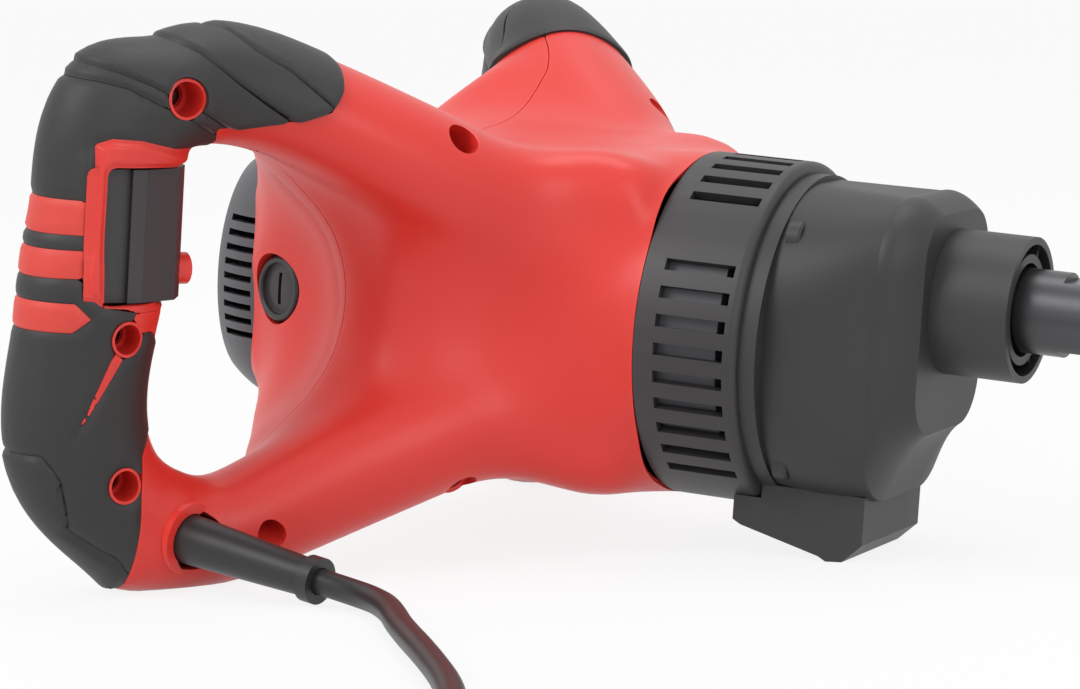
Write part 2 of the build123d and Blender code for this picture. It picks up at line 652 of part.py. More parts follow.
def rounded_route(points):
    """A polyline with each corner rounded as widely as its runs allow."""
    radii = []
    for a, b, c in zip(points, points[1:], points[2:]):
        before = Vector(*b) - Vector(*a)
        after = Vector(*c) - Vector(*b)
        half_turn = radians(before.get_angle(after)) / 2
        radii.append(0.45 * min(before.length, after.length) / tan(half_turn))
    return FilletPolyline(*points, radius=radii), min(radii)


coil_start = coil_place(0)
coil_lead = coil_start - coil_heading(0) * 32
tip = placement * Pos(*guard_tip)
root = placement * Pos(*guard_root)
guard_heading = (tip.position - root.position).normalized()
cord_start = tip.position - guard_heading * (guard_bore_depth - 1)
cord_lead = tip.position + guard_heading * 12
route_points = [tuple(cord_start), tuple(cord_lead), (-30.8, -172.7, 4.9), (-17.7, -187.8, 4.6),
                (-1.6, -213.1, 4.6), (31.0, -257.5, 4.6), (61.4, -302.0, 4.6), (84.0, -345.0, 4.6),
                (96.0, -391.0, 4.8), tuple(coil_lead), tuple(coil_start)]
cord_path, cord_bend = rounded_route(route_points)
cord = cord_tube(cord_path)

biarc_count = 15
biarc_turn = coil_end_turn / biarc_count
coil_edges = []
for k in range(biarc_count):
    turn = k * biarc_turn
    coil_edges += biarc(coil_place(turn), coil_heading(turn), coil_place(turn + biarc_turn),
                        coil_heading(turn + biarc_turn))
coil_path = Wire(coil_edges)
coil = cord_tube(coil_path)

coil_end = coil_place(coil_end_turn)
tail_lead = coil_end + coil_heading(coil_end_turn) * 26
plug_entry = (plug_at[0], plug_at[1], plug_radius)
tail_points = [tuple(coil_end), tuple(tail_lead), (-12.0, -551.5, 13.0), (-36.0, -555.0, 15.6),
               (plug_at[0] + 10, plug_at[1], plug_radius), plug_entry]
tail_path, tail_bend = rounded_route(tail_points)
tail = cord_tube(tail_path)

# Tie round the coil's bundle, and the two-pin plug beside it
tie_inner = coil_outer_radius - coil_pitch * (coil_layer_turns + 0.35) - cord_radius - 2.6
tie_outer = coil_outer_radius + cord_radius + 0.6
tie_top = coil_high_z + cord_radius + 0.3 + tie_thickness
tie_middle = (tie_inner + tie_outer) / 2
tie_corner = 2.0
tie_section = RectangleRounded(tie_outer - tie_inner + 2 * tie_thickness, tie_top,
                                 tie_corner + tie_thickness)
tie_section -= RectangleRounded(tie_outer - tie_inner, tie_top - 2 * tie_thickness, tie_corner)
tie = extrude(Plane.XZ * tie_section, tie_width / 2, both=True)
tie = Pos(coil_centre[0] - tie_middle, coil_centre[1], tie_top / 2) * tie

plug_profile = [(0, 0), (plug_radius - 1, 0), (plug_radius, 1), (plug_radius, 14), (15, 20),
                (11, 32), (9, 38), (8, 40), (5.6, 62), (0, 62)]
plug_length = plug_profile[-1][1]
plug = revolve(Plane.XZ * make_face(Polyline(*plug_profile, close=True)), Axis.Z)
plug -= Pos(0, 0, plug_length) * Cylinder(cord_radius + seat_gap, 16)
plug_place = Pos(plug_at[0] - plug_length + 7, plug_at[1], plug_radius) * Rot(Y=90)
plug = plug_place * plug
pin_radius = 2.4
pin_length = 19.0
pin_spacing = 19.0
pins = [plug_place * Pos(0, side * pin_spacing / 2, -pin_length / 2) * Cylinder(pin_radius, pin_length)
        for side in (-1, 1)]
parts.update({"cord": cord, "cord_coil": coil, "cord_tail": tail, "cord_tie": tie, "plug": plug,
              "plug_pins": Compound(pins)})

samples = [coil_path @ (k / 900) for k in range(901)]
step_length = coil_path.length / 900
skip = round(12 * cord_radius / step_length)
self_gap = min((samples[i] - samples[j]).length for i in range(0, 901, 2)
               for j in range(i + skip, 901)) - 2 * cord_radius
print("cord smallest bend", round(cord_bend, 1), "tail smallest bend", round(tail_bend, 1))
print("coil gap to itself", round(self_gap, 2), "length", round(coil_path.length))
print("cord length", round(cord_path.length + coil_path.length + tail_path.length))
for name, path, shape in (("cord", cord_path, cord), ("coil", coil_path, coil), ("tail", tail_path, tail)):
    print(name, "volume", round(shape.volume), "expected",
          round(pi * cord_radius ** 2 * path.length))

os.makedirs("parts", exist_ok=True)
for name, shape in parts.items():
    export_step(shape, "parts/" + name + ".step")
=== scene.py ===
import json
from math import cos, pi, radians, sin, tan

import bmesh
import bpy
import numpy as np
import openvdb
from mathutils import Matrix, Vector
from mathutils.bvhtree import BVHTree


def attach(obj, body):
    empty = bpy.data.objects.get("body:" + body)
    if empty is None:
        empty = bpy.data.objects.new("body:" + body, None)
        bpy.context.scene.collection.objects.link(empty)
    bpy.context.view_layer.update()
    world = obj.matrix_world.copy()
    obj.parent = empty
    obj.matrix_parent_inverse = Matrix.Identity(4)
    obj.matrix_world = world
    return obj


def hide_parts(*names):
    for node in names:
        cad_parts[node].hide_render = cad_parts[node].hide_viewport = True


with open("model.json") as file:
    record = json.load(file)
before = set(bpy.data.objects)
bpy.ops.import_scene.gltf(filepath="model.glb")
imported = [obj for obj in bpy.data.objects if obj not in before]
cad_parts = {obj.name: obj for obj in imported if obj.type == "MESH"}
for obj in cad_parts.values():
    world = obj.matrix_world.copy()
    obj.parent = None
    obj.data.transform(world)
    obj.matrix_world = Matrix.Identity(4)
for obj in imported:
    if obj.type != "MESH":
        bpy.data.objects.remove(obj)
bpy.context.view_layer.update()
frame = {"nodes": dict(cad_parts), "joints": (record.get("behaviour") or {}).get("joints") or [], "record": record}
record = frame["record"]
nodes = frame["nodes"]
scene = bpy.context.scene
MM = 0.001

# The drill's own axes: X along the motor to the spindle, Y to the left handle, Z up, millimetres
motor = next(j for j in frame["joints"] if j["name"] == "armature_spin")
forward = Vector(motor["axis"]).normalized()
leftward = Vector((0, 1, 0))
upward = forward.cross(leftward)
turn = Matrix((forward, leftward, upward)).transposed()
drill = Matrix.Translation(Vector(motor["pos_m"])) @ turn.to_4x4() @ Matrix.Scale(MM, 4)
undrill = drill.inverted()


def place(x, y, z):
    """A point given in the drill's own axes, in the row frame."""
    return drill @ Vector((x, y, z))


# Camera: the photograph's view, found from the ring, the spindle and the rests
view_azimuth = radians(24.95)
view_elevation = radians(8.5)
view_roll = radians(3.65)
view_distance = 1508.0
view_focal = 4200.0
photo_width = 1080.0
photo_centre = (540.0, 344.5)
origin_pixel = (703.4, 321.8)


def make_camera():
    back = Vector((sin(view_azimuth) * cos(view_elevation), -cos(view_azimuth) * cos(view_elevation),
                   sin(view_elevation)))
    side = Vector((cos(view_azimuth), sin(view_azimuth), 0))
    top = back.cross(side)
    right = side * cos(view_roll) + top * sin(view_roll)
    up = top * cos(view_roll) - side * sin(view_roll)
    per_pixel = view_distance / view_focal
    shift = Vector(((origin_pixel[0] - photo_centre[0]) * per_pixel,
                    -(origin_pixel[1] - photo_centre[1]) * per_pixel, -view_distance))
    basis = Matrix((right, up, back)).transposed()
    spot = basis @ -shift
    data = bpy.data.cameras.new("photo_camera")
    data.sensor_width = 36.0
    data.lens = view_focal * data.sensor_width / photo_width
    data.clip_end = 50
    camera = bpy.data.objects.new("photo_camera", data)
    scene.collection.objects.link(camera)
    camera.matrix_world = Matrix.Translation(drill @ spot) @ (turn @ basis).to_4x4()
    scene.camera = camera


make_camera()

# Materials


def principled(name):
    material = bpy.data.materials.new(name)
    material.use_nodes = True
    tree = material.node_tree
    return material, tree, tree.nodes["Principled BSDF"]


def add(tree, kind, **values):
    node = tree.nodes.new(kind)
    for key, value in values.items():
        if key in node.inputs.keys():
            node.inputs[key].default_value = value
        else:
            setattr(node, key, value)
    return node


def mix_colour(tree, factor, low, high):
    """A colour between two, by a factor socket."""
    mixer = tree.nodes.new("ShaderNodeMix")
    mixer.data_type = "RGBA"
    tree.links.new(factor, mixer.inputs[0])
    mixer.inputs[6].default_value = (*low, 1)
    mixer.inputs[7].default_value = (*high, 1)
    return mixer.outputs[2]


def moulded(name, colour, rough, grain=900.0, grain_height=0.02, mottle=0.12, edge_highlight_colour=None, coat=0.0,
            sheen=0.0):
    """Moulded plastic or rubber: fine spark-eroded grain, faint mottling, and a painted highlight on convex edges.
    """
    material, tree, shader = principled(name)
    links = tree.links
    where = tree.nodes.new("ShaderNodeTexCoord")
    fine = add(tree, "ShaderNodeTexNoise", Scale=grain, Detail=4.0, Roughness=0.6)
    broad = add(tree, "ShaderNodeTexNoise", Scale=22.0, Detail=5.0, Roughness=0.55)
    for texture in (fine, broad):
        links.new(where.outputs["Object"], texture.inputs["Vector"])
    low = tuple(c * (1 - mottle) for c in colour)
    high = tuple(min(1.0, c * (1 + mottle)) for c in colour)
    base = mix_colour(tree, broad.outputs["Fac"], low, high)
    geometry = tree.nodes.new("ShaderNodeNewGeometry")
    # Painted highlight: convex edges, read from pointiness, are mixed towards a lighter copy of the colour.
    edge = add(tree, "ShaderNodeMapRange")
    edge.inputs["From Min"].default_value = 0.53
    edge.inputs["From Max"].default_value = 0.62
    edge.inputs["To Max"].default_value = 0.35
    links.new(geometry.outputs["Pointiness"], edge.inputs["Value"])
    edge_highlight = edge_highlight_colour or tuple(min(1.0, c * 1.5 + 0.01) for c in colour)
    mixer = tree.nodes.new("ShaderNodeMix")
    mixer.data_type = "RGBA"
    links.new(edge.outputs["Result"], mixer.inputs[0])
    links.new(base, mixer.inputs[6])
    mixer.inputs[7].default_value = (*edge_highlight, 1)
    links.new(mixer.outputs[2], shader.inputs["Base Color"])
    gloss = add(tree, "ShaderNodeMapRange")
    gloss.inputs["To Min"].default_value = rough - 0.05
    gloss.inputs["To Max"].default_value = rough + 0.06
    links.new(broad.outputs["Fac"], gloss.inputs["Value"])
    links.new(gloss.outputs["Result"], shader.inputs["Roughness"])
    bump = add(tree, "ShaderNodeBump", Strength=0.35, Distance=grain_height * MM)
    links.new(fine.outputs["Fac"], bump.inputs["Height"])
    links.new(bump.outputs["Normal"], shader.inputs["Normal"])
    shader.inputs["Coat Weight"].default_value = coat
    shader.inputs["Coat Roughness"].default_value = 0.25
    shader.inputs["Sheen Weight"].default_value = sheen
    return material


def machined(name, colour, rough, scratch=240.0, metallic=1.0):
    """Turned or ground metal: fine rings round the drill's axis and slight smears."""
    material, tree, shader = principled(name)
    links = tree.links
    where = tree.nodes.new("ShaderNodeTexCoord")
    mapping = tree.nodes.new("ShaderNodeMapping")
    mapping.inputs["Scale"].default_value = (14.0, 1.0, 1.0)
    lines = add(tree, "ShaderNodeTexNoise", Scale=scratch, Detail=5.0, Roughness=0.7)
    smear = add(tree, "ShaderNodeTexNoise", Scale=35.0, Detail=4.0)
    links.new(where.outputs["Object"], mapping.inputs["Vector"])
    links.new(mapping.outputs["Vector"], lines.inputs["Vector"])
    links.new(where.outputs["Object"], smear.inputs["Vector"])
    base = mix_colour(tree, smear.outputs["Fac"], tuple(c * 0.8 for c in colour), colour)
    links.new(base, shader.inputs["Base Color"])
    shader.inputs["Metallic"].default_value = metallic
    gloss = add(tree, "ShaderNodeMapRange")
    gloss.inputs["To Min"].default_value = rough - 0.08
    gloss.inputs["To Max"].default_value = rough + 0.12
    links.new(lines.outputs["Fac"], gloss.inputs["Value"])
    links.new(gloss.outputs["Result"], shader.inputs["Roughness"])
    bump = add(tree, "ShaderNodeBump", Strength=0.3, Distance=0.02 * MM)
    links.new(lines.outputs["Fac"], bump.inputs["Height"])
    links.new(bump.outputs["Normal"], shader.inputs["Normal"])
    return material


red = moulded("red_housing", (0.70, 0.030, 0.020), 0.42, grain_height=0.012, mottle=0.03, coat=0.12)
red_band = moulded("red_band", (0.66, 0.05, 0.035), 0.5, grain=700.0, grain_height=0.03, mottle=0.05)
rubber = moulded("black_rubber", (0.022, 0.020, 0.020), 0.52, grain=700.0, grain_height=0.05)
dark = moulded("dark_plastic", (0.030, 0.028, 0.030), 0.47, grain=800.0, grain_height=0.03)
grey = moulded("grey_lining", (0.10, 0.10, 0.11), 0.55)
cap_grey = moulded("vent_grey", (0.075, 0.075, 0.085), 0.42)
facet_grey = moulded("trigger_facet", (0.20, 0.20, 0.23), 0.42, grain_height=0.01)
cast_black = moulded("gearbox_coat", (0.024, 0.023, 0.025), 0.5, grain=420.0, grain_height=0.06)
cord_rubber = moulded("cord_rubber", (0.016, 0.016, 0.017), 0.42, grain=500.0, grain_height=0.02)
tie_cloth = moulded("tie_cloth", (0.02, 0.02, 0.02), 0.85, grain=1500.0, grain_height=0.15, sheen=0.3)
blued = machined("blued_steel", (0.10, 0.10, 0.105), 0.34)
steel = machined("bright_steel", (0.50, 0.50, 0.51), 0.28)
plated = machined("plated_steel", (0.72, 0.72, 0.74), 0.16)
aluminium = machined("cast_aluminium", (0.62, 0.62, 0.63), 0.45, scratch=90.0)
bronze = machined("sintered_bronze", (0.55, 0.38, 0.18), 0.45)
copper = machined("copper", (0.62, 0.27, 0.13), 0.35)
laminated = machined("laminated_core", (0.16, 0.16, 0.17), 0.5)
slot_material = {
    "housing_red": red, "band_red": red_band, "dial_red": red, "rubber_black": rubber,
    "plastic_dark": dark, "shroud_grey": grey, "trigger_black": dark, "gearbox_black": cast_black,
    "cast_aluminium": aluminium, "steel": steel, "bronze": bronze, "core_steel": laminated,
    "copper": copper, "carbon": dark, "cord_rubber": cord_rubber, "tie_fabric": tie_cloth,
    "pin_metal": plated}
for part in record["subparts"]:
    node = nodes[part["node"]]
    node.data.materials.clear()
    node.data.materials.append(slot_material[part["material_slot"]])
nodes["spindle"].data.materials[0] = blued
nodes["rear_vent_cap"].data.materials[0] = cap_grey

# Cord: the route's points in the row frame, millimetres
cord_radius = 4.5
coil_pitch = 9.8
coil_outer_radius = 72.2
coil_centre = (34.0, -475.0)
coil_start_angle = 6.0
coil_layer_turns = 3.5
coil_end_turn = 7.25
coil_low_z = cord_radius + 0.8 + 0.3
plug_at = (-62.0, -556.0)
plug_radius = 18.0
cord_exit_root = (-131.0, -149.0, -73.0)
cord_exit_tip = (-64.0, -161.5, -78.7)
guard_bore_depth = 8.0


def coil_place(turns):
    """A point of the coil: inwards on the floor, up half a turn, outwards on top."""
    inner = coil_outer_radius - coil_pitch * coil_layer_turns
    knots = (0.0, coil_layer_turns, coil_layer_turns + 0.5, coil_layer_turns + 1.0,
             coil_layer_turns + 5.0)
    widths = (coil_outer_radius, inner, inner - 0.35 * coil_pitch, inner + 0.65 * coil_pitch,
              inner + 4.65 * coil_pitch)
    radius = float(np.interp(turns, knots, widths))
    climb = min(1.0, max(0.0, (turns - coil_layer_turns) / 0.5))
    height = coil_low_z + coil_pitch * climb ** 2 * (3 - 2 * climb)
    angle = radians(coil_start_angle) - 2 * pi * turns
    return Vector((coil_centre[0] + radius * cos(angle), coil_centre[1] + radius * sin(angle), height))


def coil_heading(turns):
    return (coil_place(turns + 0.01) - coil_place(turns - 0.01)).normalized()


def cord_curve(name, points):
    """One smooth tube through control points given in millimetres."""
    data = bpy.data.curves.new(name, "CURVE")
    data.dimensions = "3D"
    data.bevel_depth = cord_radius * MM
    data.bevel_resolution = 5
    data.use_fill_caps = True
    spline = data.splines.new("NURBS")
    spline.points.add(len(points) - 1)
    for point, target in zip(spline.points, points):
        point.co = (*(Vector(target) * MM), 1)
    spline.order_u = 3
    spline.use_endpoint_u = True
    spline.resolution_u = 5
    piece = bpy.data.objects.new(name, data)
    scene.collection.objects.link(piece)
    data.materials.append(cord_rubber)
    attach(piece, "root")
    return piece


guard_tip_point = place(*cord_exit_tip) / MM
guard_heading = (guard_tip_point - place(*cord_exit_root) / MM).normalized()
cord_start = guard_tip_point - guard_heading * (guard_bore_depth - 1)
cord_lead = guard_tip_point + guard_heading * 12
coil_steps = 16
coil_points = [coil_place(k / coil_steps) for k in range(round(coil_end_turn * coil_steps) + 1)]
route = [cord_start, cord_lead, (-30.8, -172.7, 4.9), (-17.7, -187.8, 4.6), (-1.6, -213.1, 4.6),
         (31.0, -257.5, 4.6), (61.4, -302.0, 4.6), (84.0, -345.0, 4.6), (96.0, -391.0, 4.8),
         coil_place(0) - coil_heading(0) * 32]
coil_end = coil_place(coil_end_turn)
tail = [coil_end + coil_heading(coil_end_turn) * 26, (-12.0, -551.5, 13.0), (-36.0, -555.0, 15.6),
        (plug_at[0] + 10, plug_at[1], plug_radius), (plug_at[0], plug_at[1], plug_radius)]
mains_cord = cord_curve("mains_cord", route + coil_points + tail)
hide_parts("cord", "cord_coil", "cord_tail")

# Skins of the housing and its rubber: one smooth surface found from the CAD solids, then cut along
# the seams and edges that the photograph shows. All in the drill's own axes, millimetres.
voxel = 2.0
grid_step = openvdb.createLinearTransform(voxelSize=voxel)
ring_radius = 61.5
barrel_end_x = -160.0
front_end_x = -0.3
rear_end_x = -160.3
shell_nodes = ["front_housing", "rear_housing", "right_arm_pad", "left_arm_pad", "right_grip_sleeve",
               "left_grip_sleeve", "right_corner_bumper", "left_corner_bumper", "right_grip_bands",
               "left_grip_bands", "trigger_bezel"]
grip_point = (-155.0, -170.0)
grip_heading = radians(57.0)
palm = (-cos(grip_heading), -sin(grip_heading))
ahead = (sin(grip_heading), -cos(grip_heading))


def grip_place(u, n, z):
    """A point of the right grip: u out to the palm, n forwards, z up."""
    return (grip_point[0] + u * palm[0] + n * ahead[0], grip_point[1] + u * palm[1] + n * ahead[1], z)


def grip_reading(points):
    """The grip's u, n and z of points, read on the right-hand side for both handles."""
    x = points[:, 0] - grip_point[0]
    y = -np.abs(points[:, 1]) - grip_point[1]
    return x * palm[0] + y * palm[1], x * ahead[0] + y * ahead[1], points[:, 2]


def axis_frame(origin, direction):
    """A frame whose Z runs along a direction."""
    return Matrix.Translation(Vector(origin)) @ Vector(direction).to_track_quat("Z", "Y").to_matrix().to_4x4()


def lathe(profile, frame_matrix, steps=48):
    """Points and faces of a turned form from its (radius, height) outline about the frame's Z."""
    points = []
    faces = []
    for k in range(steps):
        a = 2 * pi * k / steps
        points += [frame_matrix @ Vector((r * cos(a), r * sin(a), h)) for r, h in profile]
    count = len(profile)
    for k in range(steps):
        low = k * count
        high = (k + 1) % steps * count
        faces += [(low + i, high + i, high + i + 1, low + i + 1) for i in range(count - 1)]
    return np.array(points), faces


def triangles_of(faces):
    return np.array([(f[0], f[i], f[i + 1]) for f in faces for i in range(1, len(f) - 1)])


def node_mesh(name):
    mesh = nodes[name].data
    points = np.empty(len(mesh.vertices) * 3)
    mesh.vertices.foreach_get("co", points)
    mesh.calc_loop_triangles()
    faces = np.empty(len(mesh.loop_triangles) * 3, dtype=int)
    mesh.loop_triangles.foreach_get("vertices", faces)
    matrix = np.array(undrill @ nodes[name].matrix_world)
    return points.reshape(-1, 3) @ matrix[:3, :3].T + matrix[:3, 3], faces.reshape(-1, 3)


def joined(meshes):
    points = []
    faces = []
    total = 0
    for p, f in meshes:
        points.append(p)
        faces.append(f + total)
        total += len(p)
    return np.concatenate(points), np.concatenate(faces)


def filled(profile, frame_matrix):
    points, faces = lathe(profile, frame_matrix)
    return points, triangles_of(faces)


def oval_bar(half_width, half_height, x_start, x_end):
    """A closed oval bar along X, as a mesh."""
    count = 64
    turns = [2 * pi * k / count for k in range(count)]
    points = [(x, half_width * cos(t), half_height * sin(t)) for x in (x_start, x_end) for t in turns]
    points += [(x_start, 0, 0), (x_end, 0, 0)]
    faces = []
    for k in range(count):
        j = (k + 1) % count
        faces += [(k, j, count + j), (k, count + j, count + k), (2 * count, j, k),
                  (2 * count + 1, count + k, count + j)]
    return np.array(points), np.array(faces)


brush_tilt = radians(25.0)
brush_point = (-146.0, -50.0, 0.0)
brush_inward = (sin(brush_tilt), cos(brush_tilt), 0.0)


def mirror_mesh(mesh):
    points, faces = mesh
    return points * np.array((1, -1, 1)), faces


def grip_box(u_low, u_high, n_low, n_high, z_low, z_high):
    points = [grip_place(u, n, z) for u in (u_low, u_high) for n in (n_low, n_high) for z in (z_low, z_high)]
    faces = [(0, 1, 3, 2), (4, 6, 7, 5), (0, 4, 5, 1), (2, 3, 7, 6), (0, 2, 6, 4), (1, 5, 7, 3)]
    return np.array(points), triangles_of(faces)


def level_set(points, half_width, triangles=None, quads=None):
    given = {}
    if triangles is not None and len(triangles):
        given["triangles"] = np.asarray(triangles, dtype=np.uint32)
    if quads is not None and len(quads):
        given["quads"] = np.asarray(quads, dtype=np.uint32)
    return openvdb.FloatGrid.createLevelSetFromPolygons(
        np.asarray(points, dtype=np.float32), transform=grid_step, halfWidth=half_width, **given)


def measured_again(grid, level, half_width):
    """True distances from one level of a grid."""
    points, triangles, quads = grid.convertToPolygons(isovalue=level)
    return level_set(points, half_width, triangles, quads)


def smoothed(field, spread):
    """A field blurred evenly in all three directions."""
    reach = int(3 * spread)
    weights = np.exp(-0.5 * (np.arange(-reach, reach + 1) / spread) ** 2)
    weights /= weights.sum()
    for axis in range(3):
        pad = [(reach, reach) if i == axis else (0, 0) for i in range(3)]
        source = np.pad(field, pad, mode="edge")
        result = np.zeros_like(field)
        for i, weight in enumerate(weights):
            window = [slice(None)] * 3
            window[axis] = slice(i, i + field.shape[axis])
            result += weight * source[tuple(window)]
        field = result
    return field


def ease(share):
    share = np.clip(share, 0.0, 1.0)
    return share * share * (3 - 2 * share)


def make_field():
    """Distance from the smooth outer surface: valleys between body and arms are filled by rolling a
    large ball in them near the body and a small one at the grips."""
    brush_bar = filled([(0, 1.5), (12.5, 1.5), (12.5, 30), (0, 30)], axis_frame(brush_point, brush_inward))
    solids = [node_mesh(name) for name in shell_nodes]
    solids += [oval_bar(50, 50, -118, -0.2), oval_bar(36, 36, -158, -117), oval_bar(53, 53, -15, -0.2),
               oval_bar(ring_radius, ring_radius, -1, 14), oval_bar(40, 50, barrel_end_x + 1, -172),
               grip_box(-12, 11, -18.2, 18.2, 6, 56), brush_bar, mirror_mesh(brush_bar)]
    points, faces = joined(solids)
    grid = measured_again(level_set(points, 4, faces), 0.0, 26)
    low, high = grid.evalActiveVoxelBoundingBox()
    low = np.array(low) - 2
    shape = np.array(high) + 3 - low

    def dense(source):
        values = np.zeros(shape, dtype=np.float32)
        source.copyToArray(values, ijk=tuple(int(v) for v in low))
        return values

    def rolled(ball):
        return dense(measured_again(grid, ball, int(ball / voxel) + 6)) + ball

    steps = [(np.arange(shape[i]) + low[i]) * voxel for i in range(3)]
    x, y, z = np.meshgrid(*steps, indexing="ij")
    near_body = ease((112 - np.abs(y)) / 30) * ease((-2 - x) / 10)
    field = rolled(14.0) * (1 - near_body) + rolled(44.0) * near_body
    even = ease((130 - np.abs(y)) / 30) * ease((-4 - x) / 16) * ease((x - barrel_end_x) / 10)
    field = field * (1 - even) + smoothed(field, 2.5) * even
    return field, low


def sample(values, points):
    """Values of the field at points, read between its voxels."""
    place_in = points / voxel - field_low
    base = np.clip(np.floor(place_in).astype(int), 0, np.array(values.shape[:3]) - 2)
    part = place_in - base
    total = 0
    for i in (0, 1):
        for j in (0, 1):
            for k in (0, 1):
                weight = (np.abs(1 - i - part[:, 0]) * np.abs(1 - j - part[:, 1]) * np.abs(1 - k - part[:, 2]))
                total = total + weight[:, None] * values[base[:, 0] + i, base[:, 1] + j, base[:, 2] + k]
    return total


def normals_at(points):
    slope = sample(field_slope, points)
    return slope / np.maximum(np.linalg.norm(slope, axis=1, keepdims=True), 1e-6)


def clip(mesh, value):
    """The part of a triangle mesh where value(points) is above zero, cut sharply along zero."""
    points, faces = mesh
    v = value(points)
    v = np.where(np.abs(v) < 0.02, 0.02, v)
    keep = v[faces] > 0
    count = keep.sum(axis=1)
    whole_faces = faces[count == 3]
    cut = faces[(count == 1) | (count == 2)]
    if not len(cut):
        return tidy_mesh(points, whole_faces)
    lone_inside = (v[cut] > 0).sum(axis=1) == 1
    lone = np.where(lone_inside[:, None], v[cut] > 0, v[cut] <= 0).argmax(axis=1)
    rows = np.arange(len(cut))
    a = cut[rows, lone]
    b = cut[rows, (lone + 1) % 3]
    c = cut[rows, (lone + 2) % 3]
    pairs = np.concatenate([np.stack([a, b], 1), np.stack([a, c], 1)])
    unique, back = np.unique(np.sort(pairs, axis=1), axis=0, return_inverse=True)
    back = back.reshape(-1)
    share = v[unique[:, 0]] / (v[unique[:, 0]] - v[unique[:, 1]])
    fresh = points[unique[:, 0]] + share[:, None] * (points[unique[:, 1]] - points[unique[:, 0]])
    ab = back[:len(cut)] + len(points)
    ac = back[len(cut):] + len(points)
    inside = lone_inside
    pieces = [whole_faces, np.stack([a, ab, ac], 1)[inside], np.stack([ab, b, c], 1)[~inside],
              np.stack([ab, c, ac], 1)[~inside]]
    return tidy_mesh(np.concatenate([points, fresh]), np.concatenate(pieces))


def tidy_mesh(points, faces):
    used, index = np.unique(faces, return_inverse=True)
    return points[used], index.reshape(-1, 3)


def split_faces(mesh):
    """Each triangle in four, with the new points at the middles of its edges."""
    points, faces = mesh
    pairs = np.concatenate([faces[:, [0, 1]], faces[:, [1, 2]], faces[:, [2, 0]]])
    unique, back = np.unique(np.sort(pairs, axis=1), axis=0, return_inverse=True)
    back = back.reshape(3, -1) + len(points)
    fresh = (points[unique[:, 0]] + points[unique[:, 1]]) / 2
    a, b, c = faces.T
    ab, bc, ca = back
    faces = np.concatenate([np.stack(f, 1) for f in ((a, ab, ca), (ab, b, bc), (ca, bc, c), (ab, bc, ca))])
    return np.concatenate([points, fresh]), faces


def open_edges(faces):
    """The edges used by one face only, in that face's direction."""
    edges = np.concatenate([faces[:, [0, 1]], faces[:, [1, 2]], faces[:, [2, 0]]])
    unique, back, count = np.unique(np.sort(edges, axis=1), axis=0, return_inverse=True, return_counts=True)
    return edges[count[back.reshape(-1)] == 1]


def folded(mesh, depth, choose=None, direction=None):
    """A skin whose open edges are turned inwards by a depth, all of them or those chosen."""
    points, faces = mesh
    edges = open_edges(faces)
    if choose is not None:
        middle = (points[edges[:, 0]] + points[edges[:, 1]]) / 2
        edges = edges[choose(middle)]
    if not len(edges):
        return mesh
    rim, index = np.unique(edges, return_inverse=True)
    index = index.reshape(-1, 2) + len(points)
    inward = -normals_at(points[rim]) if direction is None else np.tile(direction, (len(rim), 1))
    walls = [np.stack([edges[:, 1], edges[:, 0], index[:, 0]], 1),
             np.stack([edges[:, 1], index[:, 0], index[:, 1]], 1)]
    return np.concatenate([points, points[rim] + inward * depth]), np.concatenate([faces] + walls)


def outline_reach(u, z, outline):
    """Distance inside a closed outline in the grip's u and z; negative outside."""
    corners = np.array(outline, dtype=float)
    nearest = np.full(len(u), 1e9)
    inside = np.zeros(len(u), dtype=bool)
    for (u0, z0), (u1, z1) in zip(corners, np.roll(corners, -1, axis=0)):
        du, dz = u1 - u0, z1 - z0
        share = np.clip(((u - u0) * du + (z - z0) * dz) / (du * du + dz * dz), 0, 1)
        nearest = np.minimum(nearest, np.hypot(u - u0 - share * du, z - z0 - share * dz))
        crosses = (z0 > z) != (z1 > z)
        level = np.where(crosses, u0 + (z - z0) / (dz if dz else 1e-9) * du, 0)
        inside ^= crosses & (u < level)
    return np.where(inside, nearest, -nearest)


def add_piece(name, mesh, material, body="root", stands_for=(), sharp=40.0):
    """A mesh given in the drill's axes becomes a piece in the row frame."""
    points, faces = mesh
    data = bpy.data.meshes.new(name)
    data.from_pydata([drill @ Vector(p) for p in points], [], [tuple(int(i) for i in f) for f in faces])
    data.validate()
    data.shade_smooth()
    data.set_sharp_from_angle(angle=radians(sharp))
    data.materials.append(material)
    piece = bpy.data.objects.new(name, data)
    scene.collection.objects.link(piece)
    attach(piece, body)
    if stands_for:
        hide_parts(*stands_for)
    return piece


field, field_low = make_field()
field_slope = np.stack(np.gradient(field), axis=-1)
whole_grid = openvdb.FloatGrid()
whole_grid.background = 24.0
whole_grid.transform = grid_step
whole_grid.copyFromArray(field, ijk=tuple(int(v) for v in field_low))
skin_points, skin_triangles, skin_quads = whole_grid.convertToPolygons(isovalue=0.0)
skin_points = np.asarray(skin_points, dtype=float)
skin = (skin_points, np.concatenate([triangles_of(skin_quads.tolist())] + (
    [np.asarray(skin_triangles, dtype=int)] if len(skin_triangles) else [])))
facing = np.cross(skin_points[skin[1][:, 1]] - skin_points[skin[1][:, 0]],
                  skin_points[skin[1][:, 2]] - skin_points[skin[1][:, 0]])
if (facing * normals_at(skin_points[skin[1][:, 0]])).sum() < 0:
    skin = (skin_points, skin[1][:, ::-1])

